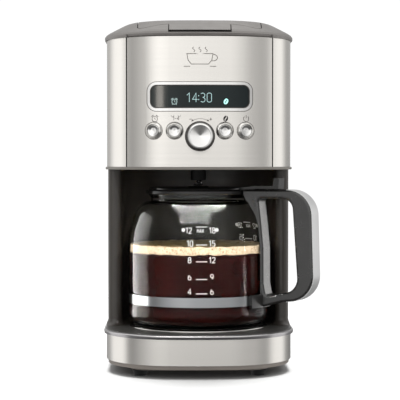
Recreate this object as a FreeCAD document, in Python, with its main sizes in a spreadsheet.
import FreeCAD, Part
import math
import os
import Sketcher
from FreeCAD import Placement, Rotation, Vector

# Drip coffee maker with a glass carafe.
# Frame: X to the right seen from the front, Y towards the back, Z up.  The pieces
# are drawn about the machine's own middle plane; at the end every piece is moved
# so that the origin lies on the table under the middle of the whole object,
# handle included.  Millimetres throughout.

doc = FreeCAD.newDocument("drip_coffee_maker")
sheet = doc.addObject("Spreadsheet::Sheet", "Dims")


# ---------------------------------------------------------------------------
# Driving dimensions: a number that carries its own spreadsheet expression.
# ---------------------------------------------------------------------------
class Dim:
    def __init__(self, value, text=None):
        self.v = float(value)
        self.t = text if text is not None else repr(round(float(value), 6))

    def __add__(self, o):
        o = q(o)
        return Dim(self.v + o.v, "(" + self.t + " + " + o.t + ")")

    def __radd__(self, o):
        return q(o) + self

    def __sub__(self, o):
        o = q(o)
        return Dim(self.v - o.v, "(" + self.t + " - " + o.t + ")")

    def __rsub__(self, o):
        return q(o) - self

    def __mul__(self, o):
        o = q(o)
        return Dim(self.v * o.v, "(" + self.t + " * " + o.t + ")")

    def __rmul__(self, o):
        return q(o) * self

    def __truediv__(self, o):
        o = q(o)
        return Dim(self.v / o.v, "(" + self.t + " / " + o.t + ")")

    def __neg__(self):
        return Dim(-self.v, "(0 - " + self.t + ")")


def q(x):
    return x if isinstance(x, Dim) else Dim(x)


def root(x):
    x = q(x)
    return Dim(math.sqrt(x.v), "sqrt(" + x.t + ")")


_row = [0]


def dim(alias, value):
    _row[0] += 1
    cell = "B%d" % _row[0]
    sheet.set("A%d" % _row[0], alias)
    sheet.set(cell, repr(float(value)))
    sheet.setAlias(cell, alias)
    return Dim(value, "Dims." + alias)


HALF = dim("half_width", 96.0)        # half width of the base band
FRONT = dim("front_y", -120.0)        # front of the base band
REAR = dim("rear_y", 120.0)           # back of the machine
CORNER = dim("corner_radius", 72.0)   # big vertical front corners
FRONTR = dim("front_radius", 300.0)   # gentle bow of the front
REARR = dim("rear_radius", 24.0)      # vertical rear corners
SPLIT = dim("split_y", 70.0)          # seam between front parts and rear cover
INSET = dim("head_inset", 0.6)        # the head is this much inside the base band
PAN0 = dim("pan_bottom", 6.0)
BAND0 = dim("band_bottom", 13.5)
BAND1 = dim("band_top", 40.0)
LIP1 = dim("lip_top", 44.0)
DECK0 = dim("deck_bottom", 42.0)
DECK1 = dim("deck_top", 44.6)
HEAD0 = dim("head_bottom", 209.5)
TRIM1 = dim("trim_top", 212.2)
PANEL1 = dim("panel_top", 342.5)
TOP = dim("cover_top", 361.6)
JUGY = dim("jug_y", -23.0)            # carafe axis
RECESS = dim("recess_radius", 81.0)
WALL = dim("wall", 2.5)
SHEETT = dim("sheet_metal", 0.8)
PLATER = dim("plate_radius", 69.0)
PLATE1 = dim("plate_top", 46.8)
BASKR = dim("basket_radius", 61.0)
HANDW = dim("handle_width", 22.0)
HANDA = dim("handle_angle", -26.0)
KNOBR = dim("knob_radius", 14.1)
BUTR = dim("button_ring_radius", 8.3)
CAPR = dim("button_cap_radius", 5.9)
CTRLZ = dim("control_z", 248.5)
KNOBZ = dim("knob_z", 243.2)
WINW = dim("window_half_width", 49.8)
WINZ = dim("window_z", 282.5)
WINH = dim("window_half_height", 11.7)
SEAM = dim("seam_x", 73.6)
SHIFTX = dim("shift_x", -12.4)        # puts the origin under the middle of the whole
SHIFTY = dim("shift_y", 3.8)
doc.recompute()

nodes = {}


# ---------------------------------------------------------------------------
# Sketch helpers
# ---------------------------------------------------------------------------
def role_plane(body, role):
    for f in body.Origin.OriginFeatures:
        if f.Role == role:
            return f
    raise RuntimeError(role)


def fix(sk, geo, pos, x, y):
    """Ties one point of the sketch to its coordinates, by expression."""
    for kind, val in (("X", q(x)), ("Y", q(y))):
        if abs(val.v) < 1e-9:
            c = Sketcher.Constraint(
                "Vertical" if kind == "X" else "Horizontal", geo, pos, -1, 1
            )
            sk.addConstraint(c)
            continue
        if val.v > 0:
            n = sk.addConstraint(
                Sketcher.Constraint("Distance" + kind, -1, 1, geo, pos, val.v)
            )
            sk.setExpression("Constraints[%d]" % n, val.t)
        else:
            n = sk.addConstraint(
                Sketcher.Constraint("Distance" + kind, geo, pos, -1, 1, -val.v)
            )
            sk.setExpression("Constraints[%d]" % n, (-val).t)


def loop(sk, path):
    """path: [(x, y, arc)], arc is None for a line to the next point, or
    (cx, cy, "ccw" or "cw", radius)."""
    n = len(path)
    ends = []
    for i, (x, y, arc) in enumerate(path):
        x, y = q(x), q(y)
        nx, ny = q(path[(i + 1) % n][0]), q(path[(i + 1) % n][1])
        if arc is None:
            g = sk.addGeometry(
                Part.LineSegment(Vector(x.v, y.v, 0), Vector(nx.v, ny.v, 0)), False
            )
            ends.append((g, 1, 2))
        else:
            cx, cy, way, r = q(arc[0]), q(arc[1]), arc[2], q(arc[3])
            a = math.atan2(y.v - cy.v, x.v - cx.v)
            b = math.atan2(ny.v - cy.v, nx.v - cx.v)
            if way == "cw":
                a, b = b, a
            while b <= a + 1e-9:
                b += 2 * math.pi
            g = sk.addGeometry(
                Part.ArcOfCircle(
                    Part.Circle(Vector(cx.v, cy.v, 0), Vector(0, 0, 1), r.v), a, b
                ),
                False,
            )
            ends.append((g, 2, 1) if way == "cw" else (g, 1, 2))
    for i in range(n):
        g, s, e = ends[i]
        g2, s2, _ = ends[(i + 1) % n]
        sk.addConstraint(Sketcher.Constraint("Coincident", g, e, g2, s2))
    for i, (x, y, arc) in enumerate(path):
        g, s, e = ends[i]
        fix(sk, g, s, x, y)
        if arc is None:
            continue
        nx, ny = q(path[(i + 1) % n][0]), q(path[(i + 1) % n][1])
        x, y = q(x), q(y)
        if math.hypot(nx.v - x.v, ny.v - y.v) > 1.99 * q(arc[3]).v:
            # half a turn: its centre lies level with its ends
            cy = q(arc[1])
            c = sk.addConstraint(
                Sketcher.Constraint("DistanceY", g, 3, -1, 1, -cy.v)
                if cy.v < 0
                else Sketcher.Constraint("DistanceY", -1, 1, g, 3, cy.v)
            )
            sk.setExpression(
                "Constraints[%d]" % c, (-cy).t if cy.v < 0 else cy.t
            )
            continue
        c = sk.addConstraint(Sketcher.Constraint("Radius", g, q(arc[3]).v))
        sk.setExpression("Constraints[%d]" % c, q(arc[3]).t)


def ring_hole(sk, x, y, r):
    x, y, r = q(x), q(y), q(r)
    g = sk.addGeometry(
        Part.Circle(Vector(x.v, y.v, 0), Vector(0, 0, 1), r.v), False
    )
    fix(sk, g, 3, x, y)
    c = sk.addConstraint(Sketcher.Constraint("Radius", g, r.v))
    sk.setExpression("Constraints[%d]" % c, r.t)


def sketch(body, name, loops=(), circles=(), role="XY_Plane", off=0):
    sk = body.newObject("Sketcher::SketchObject", name)
    sk.AttachmentSupport = [(role_plane(body, role), "")]
    sk.MapMode = "FlatFace"
    off = q(off)
    sk.AttachmentOffset = Placement(Vector(0, 0, off.v), Rotation())
    if abs(off.v) > 1e-9:
        sk.setExpression("AttachmentOffset.Base.z", off.t)
    for p in loops:
        loop(sk, p)
    for c in circles:
        ring_hole(sk, *c)
    return sk


def new_body(name, place=None):
    b = doc.addObject("PartDesign::Body", name)
    b.Label = name
    if place is not None:
        b.Placement = place
    return b


def pad(name, loops, z0, height, circles=(), place=None, role="XY_Plane", both=False):
    """A padded body: its sketch lies at z0 and it rises by height."""
    b = new_body(name, place)
    sk = sketch(b, name + "_sketch", loops, circles, role, z0)
    p = b.newObject("PartDesign::Pad", name + "_pad")
    p.Profile = sk
    h = q(height)
    p.Length = h.v
    p.setExpression("Length", h.t)
    if both:
        p.Midplane = True
    sk.Visibility = False
    b.Tip = p
    return b


def rev(name, loops, x=0, y=0, z=0, turn=None):
    """A turned body about a vertical axis at x, y."""
    b = new_body(name)
    sk = sketch(b, name + "_sketch", loops, (), "XZ_Plane", 0)
    r = b.newObject("PartDesign::Revolution", name + "_turned")
    r.Profile = sk
    r.ReferenceAxis = (sk, ["V_Axis"])
    r.Angle = 360.0
    b.Tip = r
    x, y, z = q(x), q(y), q(z)
    b.Placement = Placement(
        Vector(x.v, y.v, z.v), turn if turn is not None else Rotation()
    )
    for k, v in (("x", x), ("y", y), ("z", z)):
        if v.t.find("Dims") >= 0:
            b.setExpression("Placement.Base." + k, v.t)
    return b


# ---------------------------------------------------------------------------
# Part primitives and booleans
# ---------------------------------------------------------------------------
def bind(o, **props):
    for k, v in props.items():
        v = q(v)
        setattr(o, k, v.v)
        o.setExpression(k, v.t)


def place(o, x, y, z, turn=None):
    x, y, z = q(x), q(y), q(z)
    o.Placement = Placement(
        Vector(x.v, y.v, z.v), turn if turn is not None else Rotation()
    )
    for k, v in (("x", x), ("y", y), ("z", z)):
        if v.t.find("Dims") >= 0:
            o.setExpression("Placement.Base." + k, v.t)


def box(name, x0, y0, z0, x1, y1, z1):
    o = doc.addObject("Part::Box", name)
    bind(o, Length=q(x1) - q(x0), Width=q(y1) - q(y0), Height=q(z1) - q(z0))
    place(o, x0, y0, z0)
    return o


UP = Rotation()
ALONG_X = Rotation(Vector(0, 1, 0), 90)
ALONG_Y = Rotation(Vector(1, 0, 0), -90)


def cyl(name, r, height, x, y, z, turn=None):
    o = doc.addObject("Part::Cylinder", name)
    bind(o, Radius=r, Height=height)
    place(o, x, y, z, turn)
    return o


def cone(name, r1, r2, height, x, y, z, turn=None):
    o = doc.addObject("Part::Cone", name)
    bind(o, Radius1=r1, Radius2=r2, Height=height)
    place(o, x, y, z, turn)
    return o


_n = [0]


def auto(prefix):
    _n[0] += 1
    return "%s_%03d" % (prefix, _n[0])


def cut(name, base, *tools):
    tool = tools[0] if len(tools) == 1 else fuse(auto("tools"), *tools)
    o = doc.addObject("Part::Cut", name)
    o.Base, o.Tool = base, tool
    return o


def fuse(name, *parts):
    o = doc.addObject("Part::MultiFuse", name)
    o.Shapes = list(parts)
    return o


def common(name, a, b):
    o = doc.addObject("Part::Common", name)
    o.Base, o.Tool = a, b
    return o


def group(name, *parts):
    o = doc.addObject("Part::Compound", name)
    o.Links = list(parts)
    return o


def rounded(name, base, radius, pick):
    """Part::Fillet on the edges that pick(edge) accepts."""
    doc.recompute()
    chosen = [
        (i + 1, radius, radius) for i, e in enumerate(base.Shape.Edges) if pick(e)
    ]
    o = doc.addObject("Part::Fillet", name)
    o.Base = base
    o.Edges = chosen
    doc.recompute()
    if o.Shape.isNull() or not o.Shape.isValid() or "Invalid" in o.State:
        print("fillet left out:", name)
        doc.removeObject(o.Name)
        return base
    return o


def keep(name, obj):
    obj.Label = name
    nodes[name] = obj
    return obj


def feature(name, shape):
    o = doc.addObject("Part::Feature", name)
    o.Shape = shape
    return o


# ---------------------------------------------------------------------------
# The machine's outline: bowed front, large front corners, straight sides
# ---------------------------------------------------------------------------
C0Y = FRONT + FRONTR
CX = HALF - CORNER
DR = FRONTR - CORNER
CY = C0Y - root(DR * DR - CX * CX)


def front_points(o):
    """Right half key points of the outline moved in by o."""
    tx = (FRONTR - o) * CX / DR
    ty = C0Y + (FRONTR - o) * (CY - C0Y) / DR
    return HALF - o, tx, ty, CORNER - o, FRONTR - o


def front_fill(o, ys):
    """Closed outline moved in by o, cut straight across at ys."""
    w, tx, ty, rc, rf = front_points(o)
    return [
        (-w, ys, None),
        (-w, CY, (-CX, CY, "ccw", rc)),
        (-tx, ty, (0, C0Y, "ccw", rf)),
        (tx, ty, (CX, CY, "ccw", rc)),
        (w, CY, None),
        (w, ys, None),
    ]


def front_ring(o1, o2, ys):
    """U-shaped strip between the outlines moved in by o1 and o2."""
    w, tx, ty, rc, rf = front_points(o1)
    v, sx, sy, rd, rg = front_points(o2)
    return [
        (-w, ys, None),
        (-w, CY, (-CX, CY, "ccw", rc)),
        (-tx, ty, (0, C0Y, "ccw", rf)),
        (tx, ty, (CX, CY, "ccw", rc)),
        (w, CY, None),
        (w, ys, None),
        (v, ys, None),
        (v, CY, (CX, CY, "cw", rd)),
        (sx, sy, (0, C0Y, "cw", rg)),
        (-sx, sy, (-CX, CY, "cw", rd)),
        (-v, CY, None),
        (-v, ys, None),
    ]


def full_outline(o, rear=None):
    w, tx, ty, rc, rf = front_points(o)
    yr = REAR - o if rear is None else rear
    rr = REARR - o if q(o).v < 12 else q(14.0)
    return [
        (-w, CY, (-CX, CY, "ccw", rc)),
        (-tx, ty, (0, C0Y, "ccw", rf)),
        (tx, ty, (CX, CY, "ccw", rc)),
        (w, CY, None),
        (w, yr - rr, (w - rr, yr - rr, "ccw", rr)),
        (w - rr, yr, None),
        (rr - w, yr, (rr - w, yr - rr, "ccw", rr)),
        (-w, yr - rr, None),
    ]


def rear_ring(o1, o2, y0):
    w, v = HALF - o1, HALF - o2
    ya, yb = REAR - o1, REAR - o2
    ra, rb = REARR - o1, REARR - o2
    return [
        (w, y0, None),
        (w, ya - ra, (w - ra, ya - ra, "ccw", ra)),
        (w - ra, ya, None),
        (ra - w, ya, (ra - w, ya - ra, "ccw", ra)),
        (-w, ya - ra, None),
        (-w, y0, None),
        (-v, y0, None),
        (-v, yb - rb, (rb - v, yb - rb, "cw", rb)),
        (rb - v, yb, None),
        (v - rb, yb, (v - rb, yb - rb, "cw", rb)),
        (v, yb - rb, None),
        (v, y0, None),
    ]


def rear_fill(o, y0):
    v = HALF - o
    yb, rb = REAR - o, REARR - o
    return [
        (v, y0, None),
        (v, yb - rb, (v - rb, yb - rb, "ccw", rb)),
        (v - rb, yb, None),
        (rb - v, yb, (rb - v, yb - rb, "ccw", rb)),
        (-v, yb - rb, None),
        (-v, y0, None),
    ]


def rect(x0, y0, x1, y1):
    return [(x0, y0, None), (x1, y0, None), (x1, y1, None), (x0, y1, None)]


def round_rect(cx, cy, hw, hh, r):
    cx, cy, hw, hh, r = q(cx), q(cy), q(hw), q(hh), q(r)
    return [
        (cx - hw + r, cy - hh, None),
        (cx + hw - r, cy - hh, (cx + hw - r, cy - hh + r, "ccw", r)),
        (cx + hw, cy - hh + r, None),
        (cx + hw, cy + hh - r, (cx + hw - r, cy + hh - r, "ccw", r)),
        (cx + hw - r, cy + hh, None),
        (cx - hw + r, cy + hh, (cx - hw + r, cy + hh - r, "ccw", r)),
        (cx - hw, cy + hh - r, None),
        (cx - hw, cy - hh + r, (cx - hw + r, cy - hh + r, "ccw", r)),
    ]


def loft(name, *sections):
    """AdditiveLoft through (loop, z) sections."""
    b = new_body(name)
    sks = [
        sketch(b, "%s_s%d" % (name, i), [p], (), "XY_Plane", z)
        for i, (p, z) in enumerate(sections)
    ]
    lo = b.newObject("PartDesign::AdditiveLoft", name + "_loft")
    lo.Profile = sks[0]
    lo.Sections = sks[1:]
    lo.Ruled = len(sections) == 2
    b.Tip = lo
    return b


def front_y(x, o):
    """y of the outline moved in by o, at x."""
    w, tx, ty, rc, rf = front_points(q(o))
    x = abs(x)
    if x <= tx.v:
        return C0Y.v - math.sqrt(rf.v ** 2 - x ** 2)
    return CY.v - math.sqrt(rc.v ** 2 - (x - CX.v) ** 2)


# ---------------------------------------------------------------------------
# Base
# ---------------------------------------------------------------------------
pan_skirt = loft("pan_skirt", (full_outline(2.2), 9.2), (full_outline(1.2), BAND0))
pan_low = pad("pan_low", [round_rect(0, 4.0, 70.0, 99.0, 18.0)], PAN0, 3.25)
pan_out = fuse("pan_out", pan_skirt, pan_low)
pan_in = fuse(
    "pan_in",
    loft("pan_in_up", (full_outline(4.6), 11.2), (full_outline(3.6), BAND0 + 0.05)),
    pad("pan_in_low", [round_rect(0, 4.0, 67.6, 96.6, 15.6)], PAN0 + 2.2, 3.1),
)
slots = [
    box(auto("slot"), x, 20, PAN0 - 1, x + 4, 60, PAN0 + 5)
    for x in (-30, -18, -6, 6, 18, 30)
]
keep("base_pan", cut("base_pan", pan_out, pan_in, *slots))

FEET = ((-60.0, -85.0), (60.0, -85.0), (-60.0, 92.0), (60.0, 92.0))
keep(
    "rubber_feet",
    group(
        "rubber_feet",
        *[cone(auto("foot"), 6.6, 8.4, PAN0, x, y, 0) for x, y in FEET]
    ),
)

keep("base_band", pad("base_band", [front_ring(q(0.0), SHEETT, SPLIT)], BAND0, BAND1 - BAND0))

ring_low = pad("ring_low", [front_ring(q(-3.0), q(0.8), SPLIT)], BAND1, DECK0 - BAND1)
ring_up = pad("ring_up", [front_ring(q(-3.0), q(-0.75), SPLIT)], DECK0, LIP1 - DECK0)
ring_draft = loft(
    "ring_draft",
    (front_fill(q(-2.3), SPLIT), BAND1 - 0.01),
    (front_fill(q(-3.0), SPLIT), LIP1),
)
ring_raw = common("ring_raw", fuse("ring_sum", ring_low, ring_up), ring_draft)


def on_outline(e, o, tol=0.05):
    """Whether a level edge lies on the front outline moved in by o."""
    ok = True
    for k in (0.2, 0.5, 0.8):
        p = e.valueAt(e.FirstParameter + (e.LastParameter - e.FirstParameter) * k)
        if p.y > CY.v:
            d = abs(abs(p.x) - (HALF.v - o))
        else:
            d = abs(p.y - front_y(p.x, o)) if abs(p.x) < HALF.v - o - 8 else abs(
                math.hypot(abs(p.x) - CX.v, p.y - CY.v) - (CORNER.v - o)
            )
        ok = ok and d < tol
    return ok


def level(e, z):
    return e.BoundBox.ZLength < 0.01 and abs(e.BoundBox.ZMin - z) < 0.01


keep(
    "base_trim_ring",
    rounded(
        "base_trim_ring",
        ring_raw,
        1.5,
        lambda e: level(e, LIP1.v) and on_outline(e, -3.0),
    ),
)

deck_front = pad("deck_front", [front_fill(q(-0.7), SPLIT - 0.1)], DECK0, DECK1 - DECK0)
deck_rear = pad("deck_rear", [rear_fill(q(3.4), q(60.0))], DECK0, DECK1 - DECK0)
deck_wall = pad(
    "deck_wall", [front_ring(q(0.9), q(3.0), SPLIT - 0.1)], BAND0 + 0.1, DECK0 - BAND0 - 0.1
)
ledge = cyl("ledge", 76.0, 2.0, 0, JUGY, DECK0 - 2.0)
deck_all = fuse("deck_all", deck_front, deck_rear, deck_wall, ledge)
deck_cut = cut(
    "deck_cut",
    deck_all,
    cyl(auto("hole"), PLATER + 2.7, 10, 0, JUGY, DECK0),
    cyl(auto("hole"), 64.0, 10, 0, JUGY, DECK0 - 5),
    cyl(auto("hole"), 6.3, 10, -86.5, 6, DECK0 - 3),
    cyl(auto("hole"), 9.5, 10, 18, 88, DECK0 - 3),
)
keep(
    "base_housing",
    rounded(
        "base_housing", deck_cut, 1.2, lambda e: level(e, DECK1.v) and on_outline(e, -0.7)
    ),
)

# Warming plate with its chrome ring, seal and heater
keep(
    "warming_plate",
    rev(
        "warming_plate",
        [
            [
                (0, PLATE1 - 1.5, None),
                (PLATER - 0.2, PLATE1 - 1.5, None),
                (PLATER - 0.2, PLATE1 - 0.5, None),
                (PLATER - 1.0, PLATE1, None),
                (0, PLATE1, None),
            ]
        ],
        0,
        JUGY,
    ),
)
keep(
    "plate_ring",
    rev(
        "plate_ring",
        [
            [
                (PLATER + 0.2, DECK1 - 1.6, None),
                (PLATER + 2.4, DECK1 - 1.6, None),
                (PLATER + 2.4, DECK1 + 0.05, None),
                (PLATER + 4.2, DECK1 + 0.05, None),
                (PLATER + 4.0, DECK1 + 0.6, None),
                (PLATER + 2.2, DECK1 + 1.6, None),
                (PLATER + 0.9, DECK1 + 1.9, None),
                (PLATER + 0.2, DECK1 + 1.4, None),
            ]
        ],
        0,
        JUGY,
    ),
)
keep(
    "plate_seal",
    rev(
        "plate_seal",
        [rect(65.0, DECK0 + 0.02, 68.7, PLATE1 - 1.52)],
        0,
        JUGY,
    ),
)
heat_ring = rev("heat_ring", [rect(43.0, 34.0, 57.0, 45.28)], 0, JUGY)
heat_gap = box("heat_gap", -14, 10, 30, 14, 50, 50)
stub_l = cyl("stub_l", 4.0, 40, -18, 17, 33.6, ALONG_Y)
stub_r = cyl("stub_r", 4.0, 40, 18, 17, 33.6, ALONG_Y)
keep("heater", fuse("heater", cut("heat_c", heat_ring, heat_gap), stub_l, stub_r))
keep(
    "heater_clamp",
    fuse(
        "heater_clamp",
        box("clamp_bar", -56, -31, 31.8, 56, -15, 33.9),
        cyl("clamp_bolt", 3.0, 11.3, 0, JUGY, 33.9),
    ),
)
keep(
    "thermostat",
    fuse(
        "thermostat",
        cyl("thermo_can", 8.5, 6.0, 30, JUGY, 25.7),
        cyl("thermo_cap", 6.5, 4.0, 30, JUGY, 21.7),
    ),
)
keep("thermal_fuse", cyl("thermal_fuse", 2.2, 24, -42, JUGY, 29.5, ALONG_X))


def pipe(name, pts, radii, r_out, r_in):
    """Tube along straight runs joined by tangent arcs."""
    p = [Vector(*a) for a in pts]
    edges, last = [], p[0]
    for i in range(1, len(p) - 1):
        a, b, c = p[i - 1], p[i], p[i + 1]
        u, w = (a - b).normalize(), (c - b).normalize()
        half = u.getAngle(w) / 2
        r = radii[i - 1]
        d = r / math.tan(half)
        t1, t2 = b + u * d, b + w * d
        m = (u + w).normalize()
        centre = b + m * (r / math.sin(half))
        mid = centre - m * r
        edges.append(Part.LineSegment(last, t1).toShape())
        edges.append(Part.Arc(t1, mid, t2).toShape())
        last = t2
    edges.append(Part.LineSegment(last, p[-1]).toShape())
    wire = Part.Wire(edges)
    out = []
    for r in (r_out, r_in):
        d = (p[1] - p[0]).normalize()
        prof = Part.Wire([Part.makeCircle(r, p[0], d)])
        out.append(wire.makePipeShell([prof], True, False))
    o = feature(name, out[0].cut(out[1]))
    return o


# Rubber hoses and the riser
keep(
    "inlet_hose",
    pipe("inlet_hose", [(18, 88, 48.0), (18, 88, 33.6), (18, 34.6, 33.6)], [10], 6.3, 4.1),
)
keep(
    "outlet_hose",
    pipe(
        "outlet_hose",
        [
            (-18, 34.6, 33.6),
            (-18, 66, 33.6),
            (-58, 66, 27),
            (-86.5, 48, 24),
            (-86.5, 6, 24),
            (-86.5, 6, 50),
        ],
        [10, 14, 14, 9],
        6.0,
        4.1,
    ),
)
keep(
    "riser_tube",
    pipe(
        "riser_tube",
        [(-86.5, 6, 36.5), (-86.5, 6, 337.6), (-62, 44, 337.6), (-12, 48, 337.6), (-12, 48, 346)],
        [8, 16, 5],
        4.0,
        2.8,
    ),
)
keep(
    "check_valve",
    rev(
        "check_valve",
        [
            [
                (2.5, 48.2, None),
                (6.0, 48.2, None),
                (6.0, 51.0, None),
                (7.5, 51.0, None),
                (7.5, 53.5, None),
                (4.6, 53.5, None),
                (4.6, 57.8, None),
                (2.5, 57.8, None),
            ]
        ],
        18,
        88,
    ),
)
keep(
    "hose_clamps",
    group(
        "hose_clamps",
        cut(
            auto("clip"),
            cyl(auto("c"), 7.4, 4, 18, 52, 33.6, ALONG_Y),
            cyl(auto("c"), 6.35, 6, 18, 51, 33.6, ALONG_Y),
        ),
        cut(
            auto("clip"),
            cyl(auto("c"), 7.4, 3.2, 18, 88, 43.8),
            cyl(auto("c"), 6.35, 6, 18, 88, 42.5),
        ),
    ),
)

# ---------------------------------------------------------------------------
# Column between base and head: arms and a round recess for the carafe
# ---------------------------------------------------------------------------
ARMX = HALF - INSET            # outside of the arms
ARMR = (ARMX - RECESS) / 2     # rounded arm tips
ARMC = (ARMX + RECESS) / 2


def column_loop(t):
    """Outline of the column moved into the material by t."""
    w, r, a = ARMX - t, RECESS + t, ARMR - t
    return [
        (w, SPLIT - 0.1, None),
        (w, JUGY, (ARMC, JUGY, "cw", a)),
        (r, JUGY, (0, JUGY, "ccw", r)),
        (-r, JUGY, (-ARMC, JUGY, "cw", a)),
        (-w, JUGY, None),
        (-w, SPLIT - 0.1, None),
    ]


col_out = pad("col_out", [column_loop(q(0.0))], DECK1, HEAD0 - DECK1)
col_in = pad("col_in", [column_loop(WALL)], DECK1 - 1, HEAD0 - DECK1 + 2)
col_shell = cut("col_shell", col_out, col_in)


def foot_flare(name, radius):
    """Concave skirt that runs from the column's foot out on to the deck."""
    w, r, a = ARMX.v, RECESS.v, ARMR.v
    jy, ys, z = JUGY.v, SPLIT.v - 0.1, DECK1.v
    cxr = ARMC.v
    wire = Part.Wire(
        [
            Part.LineSegment(Vector(w, 20, z), Vector(w, jy, z)).toShape(),
            Part.Arc(Vector(w, jy, z), Vector(cxr, jy - a, z), Vector(r, jy, z)).toShape(),
            Part.Arc(Vector(r, jy, z), Vector(0, jy + r, z), Vector(-r, jy, z)).toShape(),
            Part.Arc(Vector(-r, jy, z), Vector(-cxr, jy - a, z), Vector(-w, jy, z)).toShape(),
            Part.LineSegment(Vector(-w, jy, z), Vector(-w, 20, z)).toShape(),
        ]
    )
    # profile in the plane y = 20: 0.6 mm inside the wall, radius outwards
    p0 = Vector(w - 0.6, 20, z)
    p1 = Vector(w + radius, 20, z)
    p2 = Vector(w, 20, z + radius)
    p3 = Vector(w - 0.6, 20, z + radius)
    k = radius * (1 - math.sqrt(0.5))
    arc = Part.Arc(p1, Vector(w + k, 20, z + k), p2).toShape()
    prof = Part.Wire(
        [
            Part.LineSegment(p0, p1).toShape(),
            arc,
            Part.LineSegment(p2, p3).toShape(),
            Part.LineSegment(p3, p0).toShape(),
        ]
    )
    return feature(name, wire.makePipeShell([prof], True, True))


flare = foot_flare("foot_flare", 7.0)
doc.recompute()
flare_ok = flare.Shape.isValid() and flare.Shape.Volume > 100
print("flare", flare_ok, flare.Shape.Volume)
flare_clip = common(
    "flare_clip",
    flare,
    cut(
        "flare_zone",
        pad("deck_zone", [front_fill(q(-0.6), q(20.0))], DECK1, 20.0),
        cyl(auto("hole"), PLATER + 4.5, 30, 0, JUGY, DECK1 - 5),
    ),
)
keep("column_shell", fuse("column_shell", col_shell, flare_clip))

# Rear cover: one tall shell from base to top cover
rear_raw = pad("rear_raw", [rear_ring(INSET, INSET + WALL, SPLIT)], BAND0 + 0.1, PANEL1 - BAND0 - 0.1)
vents = [
    box(auto("vent"), -36, 112, z, 36, 125, z + 2.4) for z in (300, 306, 312, 318, 324)
]
low_vents = [
    box(auto("vent"), x, 112, 22, x + 2.6, 125, 34) for x in (-40, -32, -24, -16, -8, 0)
]
REARSCREWS = ((-72.0, 40.0), (72.0, 60.0), (-72.0, 190.0), (72.0, 190.0), (-72.0, 330.0), (72.0, 330.0))
gland_hole = cyl("gland_hole", 6.0, 12, 62, 112, 28, ALONG_Y)
screw_holes = [
    cyl(auto("sh"), 1.9, 12, x, 112, z, ALONG_Y) for x, z in REARSCREWS
]
keep("rear_cover", cut("rear_cover", rear_raw, *(vents + low_vents + [gland_hole] + screw_holes)))

gland_raw = fuse(
    "gland_raw",
    cyl("gland_in", 5.95, 12.0, 62, 110, 28, ALONG_Y),
    cone("gland_out", 8.5, 6.0, 6.0, 62, REAR - INSET + 0.02, 28, ALONG_Y),
    cyl("gland_nut", 9.0, 4.0, 62, 112.5, 28, ALONG_Y),
)
keep("cord_gland", cut("cord_gland", gland_raw, cyl("gland_bore", 3.5, 30, 62, 105, 28, ALONG_Y)))
keep(
    "rear_screws",
    group(
        "rear_screws",
        *[
            fuse(
                auto("screw"),
                cyl(auto("s"), 1.75, 4.8, x, 114.8, z, ALONG_Y),
                cyl(auto("s"), 3.2, 1.6, x, REAR - INSET + 0.02, z, ALONG_Y),
            )
            for x, z in REARSCREWS
        ]
    ),
)

# ---------------------------------------------------------------------------
# Water tank in the back of the column and head
# ---------------------------------------------------------------------------
def tank_loop(t, yfront=24.0):
    w, r = q(90.5) - t, q(86.5) + t
    yb = REAR - INSET - WALL - 2.4 - t
    rb = q(18.0) - t
    yf = q(yfront) + t
    dx = root(r * r - (yf - JUGY) * (yf - JUGY))
    return [
        (dx, yf, None),
        (w, yf, None),
        (w, yb - rb, (w - rb, yb - rb, "ccw", rb)),
        (w - rb, yb, None),
        (rb - w, yb, (rb - w, yb - rb, "ccw", rb)),
        (-w, yb - rb, None),
        (-w, yf, None),
        (-dx, yf, (0, JUGY, "cw", r)),
    ]


tank_out = pad("tank_out", [tank_loop(q(0.0))], 58.0, 274.0)
tank_in = pad("tank_in", [tank_loop(q(2.0))], 60.0, 280.0)
keep(
    "water_tank",
    cut(
        "water_tank",
        fuse("tank_sum", cut("tank_shell", tank_out, tank_in), cyl("tank_boss", 6.5, 4.0, 18, 88, 54.2)),
        cyl("tank_hole", 4.7, 12, 18, 88, 52),
    ),
)

# ---------------------------------------------------------------------------
# Head
# ---------------------------------------------------------------------------
WIN_OUT = 2.6     # bezel width
bezel_prism = pad(
    "bezel_prism",
    [round_rect(0, WINZ, WINW + WIN_OUT, WINH + WIN_OUT, 9.0)],
    90.0,
    60.0,
    role="XZ_Plane",
)
window_prism = pad(
    "window_prism",
    [round_rect(0, WINZ, WINW, WINH, 6.6)],
    85.0,
    70.0,
    role="XZ_Plane",
)


def panel_frame(x, z):
    """Placement whose +Z points out of the front panel at x, z."""
    s = 1.0 if x > 0 else -1.0
    if abs(x) <= front_points(q(0.6))[1].v:
        a = math.asin(abs(x) / (FRONTR.v - 0.6)) * s
    else:
        a = math.asin((abs(x) - CX.v) / (CORNER.v - 0.6)) * s
    n = Vector(math.sin(a), -math.cos(a), 0)
    y = front_y(x, INSET.v)
    rot = Rotation(Vector(0, 0, 1), n)
    return Vector(x, y, z), n, rot


BUTTONS = (
    ("button_alarm", -46.0),
    ("button_cups", -25.2),
    ("button_strength", 24.8),
    ("button_power", 45.6),
)


def local_cyl(name, r, a, b, at):
    """Cylinder about a panel normal, from a to b along it (out is positive)."""
    p, n, rot = at
    o = doc.addObject("Part::Cylinder", name)
    bind(o, Radius=r, Height=q(b) - q(a))
    o.Placement = Placement(p + n * q(a).v, rot)
    return o


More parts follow.
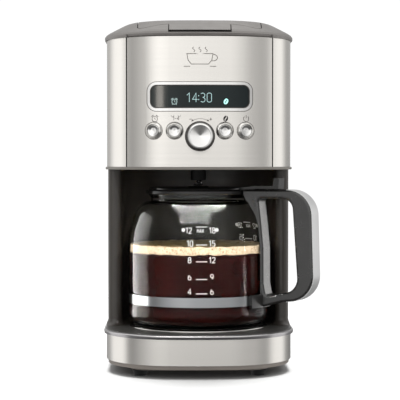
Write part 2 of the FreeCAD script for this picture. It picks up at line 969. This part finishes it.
hole_tools = []
for bname, bx in BUTTONS:
    at = panel_frame(bx, CTRLZ.v)
    hole_tools.append(local_cyl(auto("bh"), BUTR - 0.9, -14, 8, at))
knob_at = panel_frame(0.0, KNOBZ.v)
hole_tools.append(local_cyl(auto("kh"), 4.2, -14, 8, knob_at))
bezel_seat = pad(
    "bezel_seat",
    [round_rect(0, WINZ, WINW + 1.3, WINH + 1.3, 7.8)],
    85.0,
    70.0,
    role="XZ_Plane",
)
front_tools = fuse("front_tools", bezel_seat, *hole_tools)

panel_all = pad(
    "panel_all", [front_ring(INSET, INSET + SHEETT, SPLIT)], TRIM1 + 0.2, PANEL1 - TRIM1 - 0.3
)
mid_zone = box("mid_zone", -SEAM + 0.55, -130, 200, SEAM - 0.55, 0, 350)
front_raw = common("front_raw", panel_all, mid_zone)
keep("front_panel", cut("front_panel", front_raw, front_tools))
keep(
    "side_panel_left",
    common("side_panel_left", panel_all, box("left_zone", -100, -130, 200, -SEAM - 0.65, 69.9, 350)),
)
keep(
    "side_panel_right",
    common("side_panel_right", panel_all, box("right_zone", SEAM + 0.65, -130, 200, 100, 69.9, 350)),
)

frame_raw = pad(
    "frame_raw",
    [front_ring(INSET + SHEETT + 0.05, INSET + SHEETT + 2.3, SPLIT - 0.1)],
    TRIM1 + 0.1,
    PANEL1 - TRIM1 - 0.2,
)
keep("head_frame", cut("head_frame", frame_raw, front_tools))

trim_raw = pad("trim_raw", [front_ring(q(-0.9), q(3.6), SPLIT - 0.1)], HEAD0 + 0.1, TRIM1 - HEAD0 - 0.1)
keep(
    "head_trim",
    rounded(
        "head_trim",
        trim_raw,
        0.7,
        lambda e: (level(e, TRIM1.v) or level(e, HEAD0.v + 0.1)) and on_outline(e, -0.9),
    ),
)

floor_a = pad("floor_a", [front_fill(q(3.7), JUGY)], HEAD0 + 0.1, 2.5)
floor_b = cyl("floor_b", 83.2, 2.5, 0, JUGY, HEAD0 + 0.1)
floor_sum = fuse("floor_sum", floor_a, floor_b)
keep(
    "head_floor",
    cut(
        "head_floor",
        floor_sum,
        cyl("floor_hole", 17.0, 10, 0, JUGY, HEAD0 - 3),
    ),
)
keep(
    "basket_holder",
    rev(
        "basket_holder",
        [
            [
                (19.0, TRIM1 + 0.1, None),
                (62.0, TRIM1 + 0.1, None),
                (63.5, TRIM1 + 2.5, None),
                (63.5, 318.0, None),
                (61.2, 318.0, None),
                (61.2, TRIM1 + 2.5, None),
                (19.0, TRIM1 + 2.5, None),
            ]
        ],
        0,
        JUGY,
    ),
)
keep(
    "filter_basket",
    rev(
        "filter_basket",
        [
            [
                (3.6, 228.0, None),
                (3.6, 210.0, None),
                (5.6, 209.0, None),
                (5.6, 198.0, None),
                (8.0, 198.0, None),
                (8.8, 225.0, None),
                (48.0, 226.0, None),
                (BASKR - 0.6, 314.0, None),
                (BASKR - 0.6, 318.2, None),
                (62.2, 318.2, None),
                (62.2, 320.2, None),
                (BASKR - 2.8, 320.2, None),
                (BASKR - 2.8, 314.0, None),
                (46.0, 228.2, None),
            ]
        ],
        0,
        JUGY,
    ),
)
keep(
    "mesh_filter",
    rev(
        "mesh_filter",
        [
            [
                (0, 238.6, None),
                (42.8, 238.6, None),
                (54.6, 312.0, None),
                (57.4, 312.0, None),
                (57.4, 313.6, None),
                (53.4, 313.6, None),
                (41.7, 239.8, None),
                (0, 239.8, None),
            ]
        ],
        0,
        JUGY,
    ),
)
keep(
    "drip_valve",
    rev(
        "drip_valve",
        [
            [
                (0, 192.2, None),
                (4.6, 192.2, None),
                (5.2, 193.0, None),
                (5.2, 194.6, None),
                (2.0, 194.6, None),
                (2.0, 231.6, None),
                (7.5, 231.6, None),
                (7.5, 233.2, None),
                (0, 233.2, None),
            ]
        ],
        0,
        JUGY,
    ),
)


def spring(name, radius, wire_r, z0, z1, turns, x, y):
    """Coil of six-sided wire: its cross-sections joined by small flat faces."""
    n = int(turns * 12)
    rings = []
    for i in range(n + 1):
        a = 2 * math.pi * turns * i / n
        out = Vector(math.cos(a), math.sin(a), 0)
        c = Vector(x, y, z0 + wire_r * 1.1 + (z1 - z0 - 2.2 * wire_r) * i / n)
        c = c + out * radius
        rings.append(
            [
                c + out * (wire_r * math.cos(b)) + Vector(0, 0, wire_r * math.sin(b))
                for b in [math.pi / 3 * k for k in range(6)]
            ]
        )
    faces = []

    def tri(p, r, s):
        faces.append(Part.Face(Part.makePolygon([p, r, s, p])))

    for r, s in zip(rings, rings[1:]):
        for k in range(6):
            tri(r[k], r[(k + 1) % 6], s[(k + 1) % 6])
            tri(r[k], s[(k + 1) % 6], s[k])
    for r in (rings[0], rings[-1]):
        for k in range(1, 5):
            tri(r[0], r[k], r[k + 1])
    solid = Part.makeSolid(Part.makeShell(faces))
    if solid.Volume < 0:
        solid.reverse()
    return feature(name, solid)


keep("drip_spring", spring("drip_spring", 3.3, 0.4, 194.8, 208.9, 6, 0.0, JUGY.v))

# Top cover and lid share one crowned form: (inset, height, inset at the back)
DOME = (
    (-1.2, 342.5, 0.6),
    (-1.5, 344.2, 0.4),
    (-1.3, 345.6, 0.5),
    (0.2, 347.6, 0.8),
    (3.2, 349.6, 1.4),
    (6.6, 351.4, 2.2),
    (10.0, 353.2, 3.2),
    (13.6, 355.0, 4.3),
    (17.6, 357.1, 5.5),
    (21.8, 358.9, 7.0),
    (26.4, 360.1, 8.8),
    (33.0, 360.9, 10.8),
    (44.0, 361.4, 13.0),
    (57.0, 361.6, 15.5),
)


def dome_outline(o, rear_in):
    w, tx, ty, rc, rf = front_points(q(o))
    yr = REAR - rear_in
    rr = q(20.0)
    return [
        (-w, CY, (-CX, CY, "ccw", rc)),
        (-tx, ty, (0, C0Y, "ccw", rf)),
        (tx, ty, (CX, CY, "ccw", rc)),
        (w, CY, None),
        (w, yr - rr, (w - rr, yr - rr, "ccw", rr)),
        (w - rr, yr, None),
        (rr - w, yr, (rr - w, yr - rr, "ccw", rr)),
        (-w, yr - rr, None),
    ]


dome = loft("dome", *[(dome_outline(o, ri), z) for o, z, ri in DOME])
dome.Tip.Ruled = True
doc.recompute()
print("dome", dome.Shape.isValid(), dome.Shape.Volume, dome.Shape.optimalBoundingBox())

LIDX = 62.0
LIDF = -103.0
HINGEY, HINGEZ = 92.0, TOP.v - 6.0
lid_zone = pad("lid_zone", [round_rect(0, (LIDF + HINGEY) / 2, LIDX, (HINGEY - LIDF) / 2, 7.0)], 347.4, 25.0)
lid_zone_rear = box("lid_zone_rear", -LIDX, 60, 352.0, LIDX, HINGEY, 375)
lid_heel = box("lid_heel", -80, 84, 340, 80, 110, 352.0)
hole_zone = pad(
    "hole_zone",
    [round_rect(0, (LIDF + 100.4) / 2 - 0.4, LIDX + 0.9, (100.4 - LIDF) / 2 + 0.4, 7.9)],
    330.0,
    50.0,
)
hole_rear = box("hole_rear", -LIDX - 0.9, 80, 330, LIDX + 0.9, 100.4, 380)
# finger notch under the lid's tab
notch = box("notch", -31.6, -130, 346.4, 31.6, -100, 380)
tab_zone = pad("tab_zone", [round_rect(0, -108.5, 30.6, 9.5, 3.0)], 348.8, 20.0)
cover_in = loft(
    "cover_in",
    (dome_outline(4.0, 5.5), PANEL1 + 0.2),
    (dome_outline(6.0, 7.0), PANEL1 + 6.0),
    (dome_outline(16.0, 9.5), PANEL1 + 11.0),
)
curb = cut(
    "curb",
    box("curb_out", -LIDX - 4.4, LIDF - 4.2, PANEL1 + 0.6, LIDX + 4.4, 104.4, PANEL1 + 12),
    hole_zone,
    hole_rear,
)
cover_solid = cut("cover_solid", dome, cover_in, hole_zone, hole_rear)
cover_curb = common("cover_curb", curb, dome)
cover_full = fuse("cover_full", cover_solid, cover_curb)
pin_bore = cyl("pin_bore", 2.0, 160, -80, HINGEY, HINGEZ, ALONG_X)
pin_stop = box("pin_stop", -66.9, 80, 340, 66.9, 104, 365)
pin_cut = common("pin_cut", pin_bore, pin_stop)
seat = box("notch_floor", -34, -121, 344.4, 34, -101, 346.4)
notch_wall = common(
    "notch_wall",
    dome,
    cut(
        "notch_block",
        box("nb_out", -34.5, -125, 344.0, 34.5, LIDF - 0.9, 380),
        box("nb_in", -31.6, -130, 347.2, 31.6, -100, 381),
    ),
)
# the front face turns under between the panel seams
under_keep = loft(
    "under_keep",
    (front_fill(q(2.4), SPLIT), 342.3),
    (front_fill(q(-1.9), SPLIT), 346.1),
)
under_tool = cut(
    "under_tool", box("under_zone", -73.4, -130, 342.3, 73.4, -60, 346.1), under_keep
)
cover_cut = cut("cover_cut", fuse("cover_sum", cover_full, notch_wall), notch, pin_cut, under_tool)
keep("top_cover", cover_cut)

lid_top = common("lid_top", dome, fuse("lid_zones", lid_zone, lid_zone_rear))
lid_tab = common("lid_tab", dome, tab_zone)
barrel = cyl("barrel", 6.0, LIDX * 2, -LIDX, HINGEY, HINGEZ, ALONG_X)
lid_sum = fuse("lid_sum", lid_top, lid_tab, barrel)
low_dome = doc.addObject("Part::Feature", "low_dome")
low_dome.Shape = dome.Shape.translated(Vector(0, 0, -3.0))
lid_pocket = common(
    "lid_pocket",
    low_dome,
    pad("pocket_zone", [round_rect(0, -8.0, LIDX - 3.0, 91.0, 5.0)], 345.0, 25.0),
)
lid_bore = cyl("lid_bore", 2.08, 140, -70, HINGEY, HINGEZ, ALONG_X)
keep("top_lid", cut("top_lid", lid_sum, lid_pocket, lid_bore, lid_heel))
keep(
    "lid_hinge_pins",
    group(
        "lid_hinge_pins",
        cyl("pin_l", 2.0, 15.0, -66.8, HINGEY, HINGEZ, ALONG_X),
        cyl("pin_r", 2.0, 15.0, 51.8, HINGEY, HINGEZ, ALONG_X),
    ),
)
# Spray head and duct under the lid
shower_raw = fuse(
    "shower_raw",
    cyl("shower_disc", 30.0, 5.0, 0, JUGY, 345.5),
    cyl("shower_neck", 8.0, 8.19, 0, JUGY, 350.4),
)
shower_holes = [
    cyl(
        auto("sp"),
        1.6,
        10,
        20 * math.cos(math.radians(a)),
        JUGY.v + 20 * math.sin(math.radians(a)),
        343,
    )
    for a in range(0, 360, 45)
]
keep("shower_head", cut("shower_head", shower_raw, *shower_holes))
duct_raw = box("duct_raw", -18, -14.8, 350.8, -6, 54, 358.5)
keep(
    "water_duct",
    cut("water_duct", duct_raw, box("duct_in", -16.4, -16, 352.4, -7.6, 52.4, 357), cyl("duct_hole", 3.4, 10, -12, 48, 346)),
)

# ---------------------------------------------------------------------------
# Display, buttons and knob
# ---------------------------------------------------------------------------
skin_bezel = pad("skin_bezel", [front_ring(INSET - 1.0, INSET + 1.5, SPLIT)], 240, 80)
bezel_out = common("bezel_out", skin_bezel, bezel_prism)
skin_deep = pad("skin_deep", [front_ring(INSET - 3.0, INSET + 6.0, SPLIT)], 240, 80)
bezel_cut = cut("bezel_cut", bezel_out, window_prism)
skin_face = pad("skin_face", [front_ring(INSET - 1.0, INSET - 0.02, SPLIT)], 240, 80)
bezel_face = cut("bezel_face", common("bezel_f", skin_face, bezel_prism), window_prism)
seat_ring = pad(
    "seat_ring",
    [round_rect(0, WINZ, WINW + 1.25, WINH + 1.25, 7.75)],
    85.0,
    70.0,
    role="XZ_Plane",
)
skin_body = pad("skin_body", [front_ring(INSET - 0.5, INSET + 2.6, SPLIT)], 240, 80)
bezel_body = cut("bezel_body", common("bezel_b", skin_body, seat_ring), window_prism)
keep("display_bezel", fuse("display_bezel", bezel_face, bezel_body))
lens_prism = pad(
    "lens_prism",
    [round_rect(0, WINZ, WINW - 0.1, WINH - 0.1, 6.5)],
    85.0,
    70.0,
    role="XZ_Plane",
)
skin_lens = pad("skin_lens", [front_ring(INSET + 0.3, INSET + 2.4, SPLIT)], 240, 80)
keep("display_lens", common("display_lens", skin_lens, lens_prism))
keep(
    "display_module",
    fuse(
        "display_module",
        box("lcd", -40, -112.4, 271.5, 40, -108.2, 293.5),
        box("lcd_back", -43, -108.2, 270, 43, -105.8, 295),
    ),
)
keep(
    "control_board",
    cut(
        "control_board",
        box("pcb", -58, -105.2, 230, 58, -103.6, 300),
        cyl("pcb_hole", 1.6, 6, -53, -107, 296, ALONG_Y),
        cyl("pcb_hole2", 1.6, 6, 53, -107, 296, ALONG_Y),
        cyl("pcb_hole3", 1.6, 6, -53, -107, 234, ALONG_Y),
        cyl("pcb_hole4", 1.6, 6, 53, -107, 234, ALONG_Y),
    ),
)
keep(
    "power_board",
    fuse(
        "power_board",
        box("pwr_pcb", 70, -52, 218, 71.6, 14, 300),
        box("pwr_relay", 71.6, -44, 226, 86, -26, 247),
        box("pwr_coil", 71.6, -20, 252, 88, 6, 286),
    ),
)

ring_solids, switch_solids = [], []
for bname, bx in BUTTONS:
    at = panel_frame(bx, CTRLZ.v)
    p, n, rot = at
    # ring: turned profile about the panel normal
    b = rev(
        bname + "_ring",
        [
            [
                (CAPR + 0.25, -3.0, None),
                (BUTR - 1.0, -3.0, None),
                (BUTR - 1.0, 0.35, None),
                (BUTR, 0.45, None),
                (BUTR, 0.8, None),
                (BUTR - 1.0, 1.9, None),
                (CAPR + 0.7, 2.2, None),
                (CAPR + 0.25, 1.8, None),
            ]
        ],
    )
    b.Placement = Placement(p, rot)
    ring_solids.append(b)
    c = rev(
        bname,
        [
            [
                (0, -4.4, None),
                (CAPR + 0.9, -4.4, None),
                (CAPR + 0.9, -3.4, None),
                (CAPR, -3.4, None),
                (CAPR, 1.7, None),
                (CAPR - 0.5, 2.15, None),
                (CAPR - 1.0, 2.0, None),
                (3.0, 1.35, None),
                (0, 1.1, None),
            ]
        ],
    )
    c.Placement = Placement(p, rot)
    keep(bname, c)
    # short stem of the switch behind each cap, then the switch body
    deep = -12.4 if abs(bx) < 35 else -8.8
    sw = fuse(
        auto("switch"),
        local_cyl(auto("sw"), 1.6, -7.5, -6.2, at),
        local_cyl(auto("sw"), 3.4, deep, -7.5, at),
    )
    switch_solids.append(sw)
keep("button_rings", group("button_rings", *ring_solids))
keep("button_switches", group("button_switches", *switch_solids))

knob = rev(
    "knob",
    [
        [
            (0, 2.9, None),
            (KNOBR - 0.5, 2.9, None),
            (KNOBR, 3.5, None),
            (KNOBR, 10.2, None),
            (KNOBR - 0.6, 11.4, None),
            (KNOBR - 2.9, 13.6, None),
            (KNOBR - 3.4, 13.6, None),
            (KNOBR - 3.8, 13.3, None),
            (0, 11.9, None),
        ]
    ],
)
kp, kn, krot = knob_at
knob.Placement = Placement(kp, krot)
knob_hole = local_cyl("knob_hole", 3.0, 2.0, 9.0, knob_at)
keep("knob", cut("knob", knob, knob_hole))
kring = rev(
    "knob_ring",
    [
        [
            (4.0, -3.0, None),
            (4.1, 0.06, None),
            (KNOBR + 0.2, 0.06, None),
            (KNOBR + 0.2, 0.9, None),
            (KNOBR - 0.6, 1.8, None),
            (3.2, 1.8, None),
            (3.2, -3.0, None),
        ]
    ],
)
kring.Placement = Placement(kp, krot)
keep("knob_ring", kring)
keep(
    "rotary_encoder",
    fuse(
        "rotary_encoder",
        local_cyl("enc_shaft", 2.95, -8.0, 8.8, knob_at),
        box("enc_body", -6.5, -112.3, 236.7, 6.5, -105.4, 249.7),
    ),
)

# ---------------------------------------------------------------------------
# Carafe
# ---------------------------------------------------------------------------
G0 = q(46.95)   # underside of the glass
glass_path = [
    (0, G0, None),
    (62.5, G0, (62.5, G0 + 13.3, "ccw", 13.3)),
    (75.8, G0 + 13.3, None),
    (75.8, 63.5, None),
    (74.1, 69.0, None),
    (74.1, 80.0, None),
    (74.7, 82.5, None),
    (74.7, 125.0, (-35.3, 125.0, "ccw", 110.0)),
]
# shoulder: a long arc, then a tighter one into the neck
SA = math.asin(38.0 / 110.0)
s1 = (-35.3 + 110.0 * math.cos(SA), 163.0)
c2 = (s1[0] - 21.0 * math.cos(SA), s1[1] - 21.0 * math.sin(SA))
NECK = 50.4
nz = c2[1] + math.sqrt(21.0 ** 2 - (NECK - c2[0]) ** 2)
T = 2.5
ci_r = 21.0 - T
nzi = c2[1] + math.sqrt(ci_r ** 2 - (NECK - T - c2[0]) ** 2) if NECK - T > c2[0] else c2[1] + ci_r
si = (-35.3 + (110.0 - T) * math.cos(SA), 125.0 + (110.0 - T) * math.sin(SA))
glass_path += [
    (s1[0], s1[1], (c2[0], c2[1], "ccw", 21.0)),
    (NECK, nz, None),
    (NECK, 179.6, None),
    (51.9, 181.4, (51.0, 182.6, "ccw", 1.5)),
    (51.9, 183.8, None),
    (50.6, 186.6, None),
    (48.6, 186.6, None),
    (NECK - T, 184.0, None),
    (NECK - T, nzi, (c2[0], c2[1], "cw", ci_r)) if NECK - T > c2[0] else (c2[0], c2[1] + ci_r, (c2[0], c2[1], "cw", ci_r)),
    (si[0], si[1], (-35.3, 125.0, "cw", 110.0 - T)),
    (74.7 - T, 125.0, None),
    (74.7 - T, 82.9, None),
    (74.1 - T, 80.4, None),
    (74.1 - T, 68.8, None),
    (75.8 - T, 63.3, None),
    (75.8 - T, G0 + 13.3, (62.5, G0 + 13.3, "cw", 13.3 - T)),
    (62.5, G0 + T, None),
    (0, G0 + T, None),
]
keep("carafe_glass", rev("carafe_glass", [glass_path], 0, JUGY))

collar = rev(
    "collar",
    [
        [
            (52.5, 184.2, None),
            (54.6, 183.4, None),
            (55.8, 184.2, None),
            (55.8, 186.9, None),
            (54.6, 187.3, None),
            (51.0, 187.3, None),
            (51.0, 186.75, None),
        ]
    ],
    0,
    JUGY,
)
spout_dir = HANDA.v + 180.0


def jug_turn(deg):
    return Rotation(Vector(0, 0, 1), deg)


spout_pts = [(-7.0, 49.0), (7.0, 49.0), (2.2, 61.5), (-2.2, 61.5)]
spout = pad(
    "spout",
    [[(53.2, -8.5, None), (60.5, -3.0, None), (60.5, 3.0, None), (53.2, 8.5, None)]],
    184.2,
    2.9,
    place=Placement(Vector(0, JUGY.v, 0), jug_turn(spout_dir)),
)
keep("carafe_collar", fuse("carafe_collar", collar, spout))
keep(
    "carafe_band",
    cut(
        "carafe_band",
        cyl("band_out", 75.0, 10.0, 0, JUGY, 69.6),
        cyl("band_in", 74.2, 20.0, 0, JUGY, 65.0),
    ),
)

# Handle, drawn in its own upright plane (distance from the axis, height)
side = Placement(Vector(0, JUGY.v, 0), jug_turn(HANDA.v))
outer_loop = [
    (56.6, 188.8, None),
    (131.2, 188.8, None),
    (134.6, 76.2, None),
    (100.0, 73.2, None),
    (77.0, 67.0, None),
    (75.6, 67.0, None),
    (75.6, 127.0, None),
    (73.4, 150.0, None),
    (69.6, 163.0, None),
    (64.0, 172.0, None),
    (61.8, 175.6, None),
    (58.4, 179.6, None),
    (56.6, 184.0, None),
]
inner_loop = [
    (73.0, 179.4, None),
    (110.0, 179.4, None),
    (116.6, 85.6, None),
    (81.0, 78.6, None),
    (78.6, 92.0, None),
    (78.4, 128.0, None),
    (76.2, 151.0, None),
]
hb = new_body("handle_blank", side)
hsk = sketch(hb, "handle_outer", [outer_loop], (), "XZ_Plane", -(HANDW / 2))
hp = hb.newObject("PartDesign::Pad", "handle_pad")
hp.Profile = hsk
hp.Length = HANDW.v
hp.setExpression("Length", HANDW.t)
hb.Tip = hp
ib = new_body("handle_gap", side)
isk = sketch(ib, "handle_inner", [inner_loop], (), "XZ_Plane", -(HANDW / 2) - 1)
ip = ib.newObject("PartDesign::Pad", "gap_pad")
ip.Profile = isk
ip.Length = HANDW.v + 2
ip.setExpression("Length", (HANDW + 2).t)
ib.Tip = ip
doc.recompute()


def corner_pick(pts):
    """Edges across the handle at the given (distance, height) corners."""
    a = math.radians(HANDA.v)

    def pick(e):
        if len(e.Vertexes) != 2:
            return False
        u, w = e.Vertexes[0].Point, e.Vertexes[1].Point
        if abs(u.z - w.z) > 0.01:
            return False
        m = (u + w) * 0.5
        rho = m.x * math.cos(a) + (m.y - JUGY.v) * math.sin(a)
        off = -m.x * math.sin(a) + (m.y - JUGY.v) * math.cos(a)
        if abs(off) > 0.5 or abs(e.Length - HANDW.v) > 3:
            return False
        return any(abs(rho - p[0]) < 0.6 and abs(m.z - p[1]) < 0.6 for p in pts)

    return pick


def multi_fillet(name, base, picks):
    doc.recompute()
    chosen = []
    for i, e in enumerate(base.Shape.Edges):
        for r, pts in picks:
            if corner_pick(pts)(e):
                chosen.append((i + 1, r, r))
    o = doc.addObject("Part::Fillet", name)
    o.Base = base
    o.Edges = chosen
    doc.recompute()
    if o.Shape.isNull() or not o.Shape.isValid():
        print("fillet left out:", name, len(chosen))
        doc.removeObject(o.Name)
        return base
    return o


blank_r = multi_fillet(
    "blank_r", hb, [(27.0, [(131.2, 188.8)]), (27.0, [(134.6, 76.2)]), (20.0, [(100.0, 73.2)])]
)
gap_r = multi_fillet(
    "gap_r",
    ib,
    [(11.0, [(110.0, 179.4)]), (15.0, [(116.6, 85.6)]), (4.0, [(81.0, 78.6), (73.0, 179.4)])],
)
handle_loop = cut("handle_loop", blank_r, gap_r)


def side_edge(e):
    """Level with either flat side of the handle."""
    a = math.radians(HANDA.v)
    offs = []
    for k in (0.05, 0.5, 0.95):
        p = e.valueAt(e.FirstParameter + (e.LastParameter - e.FirstParameter) * k)
        offs.append(-p.x * math.sin(a) + (p.y - JUGY.v) * math.cos(a))
        rho = p.x * math.cos(a) + (p.y - JUGY.v) * math.sin(a)
        if rho < 79.5:
            return False
    return all(abs(abs(o) - HANDW.v / 2) < 0.01 for o in offs)


handle_soft = rounded("handle_soft", handle_loop, 2.6, side_edge)

# recess and metal strip on the outside of the grip
doc.recompute()
blank_shape = blank_r.Shape.copy()
strip_w = HANDW.v - 2.6
ang = HANDA.v


def in_handle_frame(shape):
    shape.rotate(Vector(0, 0, 0), Vector(0, 0, 1), ang)
    shape.translate(Vector(0, JUGY.v, 0))
    return shape


slab = in_handle_frame(Part.makeBox(60, strip_w, 130, Vector(96, -strip_w / 2, 70)))
outer_face_solid = blank_shape.common(slab)
# the inner limit of the strip: the same outline 1.6 mm further in
inner_wire = [
    (56.6, 187.2),
    (129.6, 187.2),
    (133.0, 77.8),
    (100.0, 74.8),
    (60.0, 70.0),
]
ipoly = Part.makePolygon([Vector(x, -30, z) for x, z in inner_wire + [inner_wire[0]]])
iface = Part.Face(ipoly)
isolid = iface.extrude(Vector(0, 60, 0))
ied = []
for e in isolid.Edges:
    u, w = e.Vertexes[0].Point, e.Vertexes[1].Point
    if abs(abs(u.y - w.y) - 60) < 0.01:
        if (abs(u.x - 129.6) < 0.1) or (abs(u.x - 133.0) < 0.1):
            ied.append(e)
isolid = isolid.makeFillet(25.4, ied)
isolid = in_handle_frame(isolid)
strip_shape = outer_face_solid.cut(isolid)
# keep the run from the top bend to the bottom bend
zone = in_handle_frame(Part.makeBox(60, 60, 130, Vector(104, -30, 72)))
strip_shape = strip_shape.common(zone)
strip_tool = feature("strip_tool", strip_shape)
keep("handle_insert", feature("handle_insert", strip_shape.copy()))
bracket_ring = cut(
    "bracket_ring",
    cyl("br_out", 79.2, 13.4, 0, JUGY, 67.2),
    cyl("br_in", 75.25, 20, 0, JUGY, 62),
)
wedge = feature(
    "bracket_wedge",
    in_handle_frame(Part.makeCylinder(90, 40, Vector(0, 0, 60), Vector(0, 0, 1), 42).rotated(Vector(0, 0, 0), Vector(0, 0, 1), -21)),
)
bracket = common("bracket", bracket_ring, wedge)
screw_bore = feature(
    "screw_bore",
    in_handle_frame(Part.makeCylinder(2.0, 16, Vector(75.4, 0, 74.6), Vector(1, 0, 0))),
)
hinge_slot = feature(
    "hinge_slot",
    in_handle_frame(Part.makeBox(20, 12.8, 12, Vector(54.5, -6.4, 181.6))),
)
lever_slot = feature(
    "lever_slot",
    in_handle_frame(Part.makeBox(44.5, 16.4, 9.5, Vector(54.5, -8.2, 187.2))),
)
pin_hole = feature(
    "pin_hole",
    in_handle_frame(Part.makeCylinder(1.5, 17, Vector(63.0, -8.5, 184.6), Vector(0, 1, 0))),
)
handle_sum = fuse("handle_sum", handle_soft, bracket)
keep(
    "carafe_handle",
    cut("carafe_handle", handle_sum, strip_tool, screw_bore, hinge_slot, lever_slot, pin_hole),
)
keep(
    "handle_screw",
    feature(
        "handle_screw",
        in_handle_frame(
            Part.makeCylinder(1.9, 15.0, Vector(75.6, 0, 74.6), Vector(1, 0, 0))
        ),
    ),
)
keep(
    "carafe_lid_pin",
    feature(
        "carafe_lid_pin",
        in_handle_frame(Part.makeCylinder(1.5, 16.6, Vector(63.0, -8.3, 184.6), Vector(0, 1, 0))),
    ),
)

# Carafe lid: dished cap, centre boss with a drip hole, hinge knuckle and lever
lid_cap = rev(
    "lid_cap",
    [
        [
            (3.0, 186.3, None),
            (45.6, 184.8, None),
            (45.6, 180.0, None),
            (47.2, 180.0, None),
            (47.2, 187.6, None),
            (51.8, 187.6, None),
            (52.4, 188.4, None),
            (52.0, 189.9, None),
            (49.5, 190.7, None),
            (44.0, 190.4, None),
            (30.0, 188.6, None),
            (13.0, 188.6, None),
            (10.5, 191.9, None),
            (3.0, 191.9, None),
        ]
    ],
    0,
    JUGY,
)
arm_profile = [
    (46.0, 187.8),
    (60.0, 187.8),
    (60.0, 182.2),
    (66.0, 182.2),
    (67.0, 189.4),
    (84.0, 189.4),
    (94.0, 189.4),
    (94.8, 200.4),
    (89.2, 200.4),
    (88.0, 192.4),
    (66.0, 192.2),
    (60.0, 191.4),
    (48.0, 190.4),
]
apoly = Part.makePolygon([Vector(x, -6, z) for x, z in arm_profile + [arm_profile[0]]])
arm_solid = Part.Face(apoly).extrude(Vector(0, 12, 0))
tabf = Part.makePolygon(
    [
        Vector(x, -7.6, z)
        for x, z in [(87.6, 189.5), (94.2, 189.5), (95.0, 200.6), (89.0, 200.6), (87.6, 189.5)]
    ]
)
thumb = Part.Face(tabf).extrude(Vector(0, 15.2, 0))
arm_all = in_handle_frame(arm_solid.fuse(thumb).removeSplitter())
arm = feature("lid_arm", arm_all)
arm_bore = feature(
    "arm_bore",
    in_handle_frame(Part.makeCylinder(1.58, 20, Vector(63.0, -10, 184.6), Vector(0, 1, 0))),
)
lid_raw = cut("lid_raw", fuse("lid_join", lid_cap, arm), arm_bore)
keep("carafe_lid", lid_raw)

# ---------------------------------------------------------------------------
# Check everything and write the pieces
# ---------------------------------------------------------------------------
for o in nodes.values():
    bound = dict(o.ExpressionEngine)
    base = o.Placement.Base
    for axis, shift in (("x", SHIFTX), ("y", SHIFTY)):
        old = bound.get("Placement.Base." + axis) or bound.get(
            ".Placement.Base." + axis
        )
        here = old if old else repr(round(getattr(base, axis), 9))
        o.setExpression("Placement.Base." + axis, "(" + here + ") + " + shift.t)
doc.recompute()
bad = [o.Name for o in doc.Objects if "Invalid" in o.State or "Error" in o.State]
os.makedirs("parts", exist_ok=True)
for old in os.listdir("parts"):
    if old.endswith(".step") and old[:-5] not in nodes:
        os.remove(os.path.join("parts", old))
for name, o in nodes.items():
    s = o.Shape
    if s.isNull() or not s.isValid() or not s.Solids:
        bad.append("shape of " + name)
        continue
print("nodes", len(nodes), "bad", bad)
if bad:
    raise SystemExit("the model has failed objects: " + ", ".join(bad))
for name, o in nodes.items():
    o.Shape.exportStep(os.path.join("parts", name + ".step"))
    bb = o.Shape.optimalBoundingBox()
    print(
        "%-18s solids %2d  vol %9.0f  x %7.1f %7.1f  y %7.1f %7.1f  z %6.1f %6.1f"
        % (name, len(o.Shape.Solids), o.Shape.Volume, bb.XMin, bb.XMax, bb.YMin, bb.YMax, bb.ZMin, bb.ZMax)
    )
